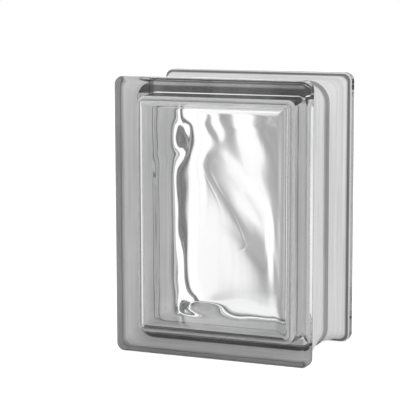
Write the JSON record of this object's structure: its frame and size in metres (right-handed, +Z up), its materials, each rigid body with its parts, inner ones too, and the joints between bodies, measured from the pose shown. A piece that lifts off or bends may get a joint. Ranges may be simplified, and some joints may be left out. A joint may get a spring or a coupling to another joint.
{
  "type": "glass block",
  "caption": "Hollow rectangular glass building block with wavy inner faces, rimmed edges and a fused seam, standing upright.",
  "frame": {"origin": "on the floor, under the middle of the upright block", "axes": "+Z up along the long side of the faces, +X to the right along their short side, +Y from the front face to the back face"},
  "size_m": [0.146, 0.0984, 0.1969],
  "materials": {
    "glass": "clear pressed glass, fire polished faces"
  },
  "bodies": {
    "root": {"front_shell": "glass", "back_shell": "glass"}
  },
  "joints": []
}
